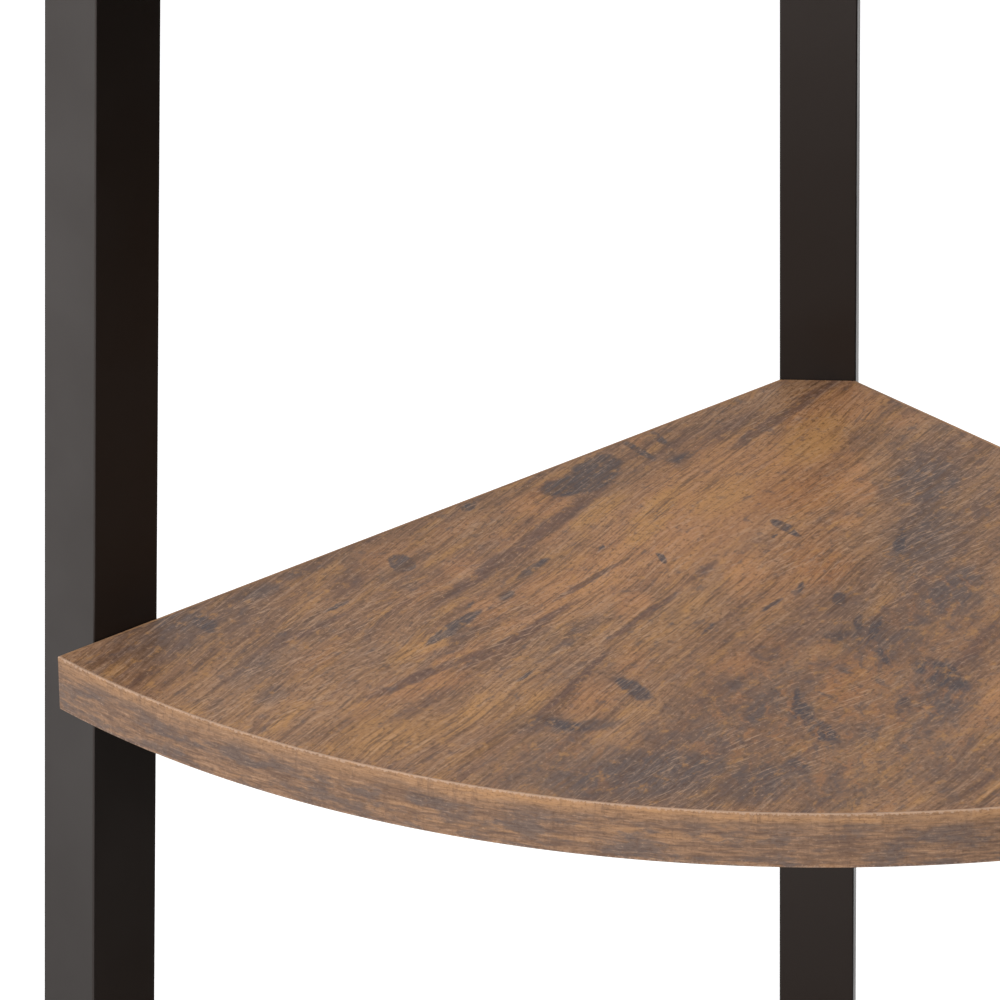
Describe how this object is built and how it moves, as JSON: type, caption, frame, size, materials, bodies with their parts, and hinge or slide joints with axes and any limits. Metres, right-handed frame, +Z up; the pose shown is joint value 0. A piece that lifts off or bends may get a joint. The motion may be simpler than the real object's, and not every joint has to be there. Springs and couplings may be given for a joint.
{
  "type": "corner shelf unit",
  "caption": "Tall corner shelf unit: quarter-round wood-print boards bolted between square steel posts that lean out towards the floor, on levelling feet, with wall brackets.",
  "frame": {"origin": "middle of the footprint's bounding box, on the floor", "axes": "+Z up, the rounded front faces -Y, the room's corner is behind the rear post at +Y, and the two walls run at 45 degrees to X and Y"},
  "size_m": [0.4924, 0.3504, 1.5903],
  "materials": {
    "powder_coated_steel": "satin dark brown-black powder coat",
    "wood_print": "rustic brown wood print on particle board, satin",
    "wood_print_edging": "rustic brown printed edging strip, satin",
    "black_bolt": "black oxide",
    "brass_insert": "plain",
    "black_plastic": "moulded, matte",
    "foot_plastic": "moulded, matte",
    "zinc_plate": "zinc plated"
  },
  "bodies": {
    "frame": {"shelf_1_board": "wood_print", "shelf_1_edging": "wood_print_edging", "shelf_2_board": "wood_print", "shelf_2_edging": "wood_print_edging", "shelf_3_board": "wood_print", "shelf_3_edging": "wood_print_edging", "shelf_4_board": "wood_print", "shelf_4_edging": "wood_print_edging", "shelf_5_board": "wood_print", "shelf_5_edging": "wood_print_edging", "rear_post": "powder_coated_steel", "rear_post_cap": "black_plastic", "rear_foot_socket": "black_plastic", "rear_bolt_1": "black_bolt", "rear_insert_1": "brass_insert", "rear_bolt_2": "black_bolt", "rear_insert_2": "brass_insert", "rear_bolt_3": "black_bolt", "rear_insert_3": "brass_insert", "rear_bolt_4": "black_bolt", "rear_insert_4": "brass_insert", "rear_bolt_5": "black_bolt", "rear_insert_5": "brass_insert", "left_post": "powder_coated_steel", "left_post_cap": "black_plastic", "left_foot_socket": "black_plastic", "left_bolt_1": "black_bolt", "left_insert_1": "brass_insert", "left_bolt_2": "black_bolt", "left_insert_2": "brass_insert", "left_bolt_3": "black_bolt", "left_insert_3": "brass_insert", "left_bolt_4": "black_bolt", "left_insert_4": "brass_insert", "left_bolt_5": "black_bolt", "left_insert_5": "brass_insert", "right_post": "powder_coated_steel", "right_post_cap": "black_plastic", "right_foot_socket": "black_plastic", "right_bolt_1": "black_bolt", "right_insert_1": "brass_insert", "right_bolt_2": "black_bolt", "right_insert_2": "brass_insert", "right_bolt_3": "black_bolt", "right_insert_3": "brass_insert", "right_bolt_4": "black_bolt", "right_insert_4": "brass_insert", "right_bolt_5": "black_bolt", "right_insert_5": "brass_insert", "left_wall_bracket": "zinc_plate", "left_bracket_screw": "zinc_plate", "right_wall_bracket": "zinc_plate", "right_bracket_screw": "zinc_plate"},
    "rear_foot": {"rear_levelling_foot": "foot_plastic"},
    "left_foot": {"left_levelling_foot": "foot_plastic"},
    "right_foot": {"right_levelling_foot": "foot_plastic"}
  },
  "joints": [
    {"name": "rear_foot_screw", "type": "slide", "parent": "frame", "child": "rear_foot", "axis": [0, 0, -1], "range_m": [0, 0.01]},
    {"name": "left_foot_screw", "type": "slide", "parent": "frame", "child": "left_foot", "axis": [0, 0, -1], "range_m": [0, 0.01]},
    {"name": "right_foot_screw", "type": "slide", "parent": "frame", "child": "right_foot", "axis": [0, 0, -1], "range_m": [0, 0.01]}
  ]
}
